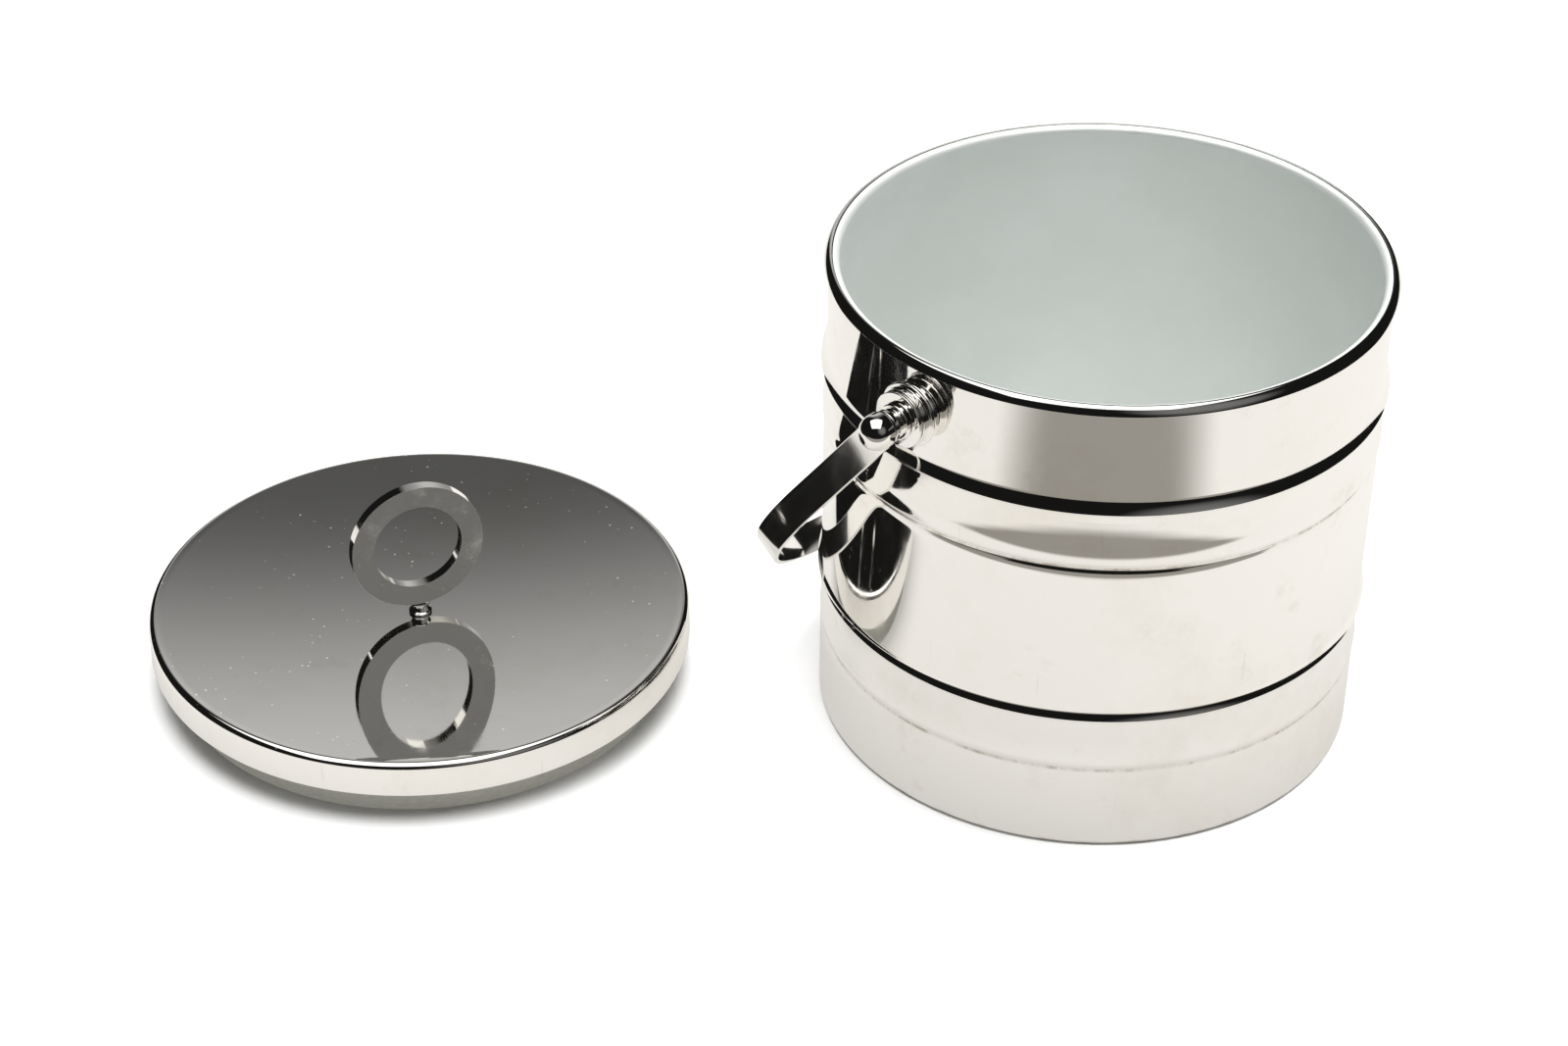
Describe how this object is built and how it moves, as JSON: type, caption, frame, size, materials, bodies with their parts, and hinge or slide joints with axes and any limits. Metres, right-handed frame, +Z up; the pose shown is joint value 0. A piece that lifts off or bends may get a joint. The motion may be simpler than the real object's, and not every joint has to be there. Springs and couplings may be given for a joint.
{
  "type": "insulated champagne bucket",
  "caption": "Double-walled silver ice bucket with a satin metal liner, a strap handle that swings on turned pivots, and a loose insulated lid with an oval ring finial.",
  "frame": {"origin": "centre of the felt pad under the bucket, on the bucket's axis, where it stands on the table", "axes": "+Z up along the bucket's axis; the lid lies beside the bucket on -X; the handle's pivot axis is horizontal, 48.32 degrees from +X towards +Y"},
  "size_m": [0.4615, 0.2304, 0.188],
  "materials": {
    "silver_body": "mirror-polished silver plate, fine wipe marks, faint warm tarnish by the beads",
    "silver_lid": "mirror-polished silver plate with fine dust and hairline scratches",
    "silver_finial": "mirror-polished silver plate, edges rounded by polishing",
    "silver_handle": "polished silver plate, slightly duller than the body, fine handling marks",
    "silver_fittings": "polished silver plate, warm tarnish in the grooves",
    "satin_liner": "satin grey-green anodised aluminium, faint scratches and a few spots",
    "steel": "plain turned steel",
    "foam": "rigid insulating foam",
    "rubber": "black rubber",
    "felt": "dark green felt"
  },
  "bodies": {
    "bucket": {"outer_shell": "silver_body", "rim_ring": "silver_body", "inner_liner": "satin_liner", "insulation_jacket": "foam", "base_insulation": "foam", "rim_gasket": "rubber", "base_plate": "steel", "base_felt": "felt", "pivot_screw_near": "steel", "pivot_foot_near": "silver_fittings", "pivot_drum_near": "silver_fittings", "pivot_washer_near": "silver_fittings", "handle_bush_near": "silver_fittings", "cap_nut_near": "silver_fittings", "pivot_screw_far": "steel", "pivot_foot_far": "silver_fittings", "pivot_drum_far": "silver_fittings", "pivot_washer_far": "silver_fittings", "handle_bush_far": "silver_fittings", "cap_nut_far": "silver_fittings"},
    "handle": {"bail_handle": "silver_handle"},
    "lid": {"lid_cover": "silver_lid", "lid_pan": "satin_liner", "lid_insulation": "foam", "finial_ring": "silver_finial", "finial_stem": "silver_finial", "finial_washer": "steel", "finial_screw": "steel"}
  },
  "joints": [
    {"name": "handle_swing", "type": "hinge", "parent": "bucket", "child": "handle", "pos_m": [0, 0, 0.1688], "axis": [0.665, 0.7469, 0], "range_deg": [0, 284]},
    {"name": "lid_lift", "type": "slide", "parent": "bucket", "child": "lid", "axis": [0, 0, 1], "range_m": [0, 0.2]}
  ]
}
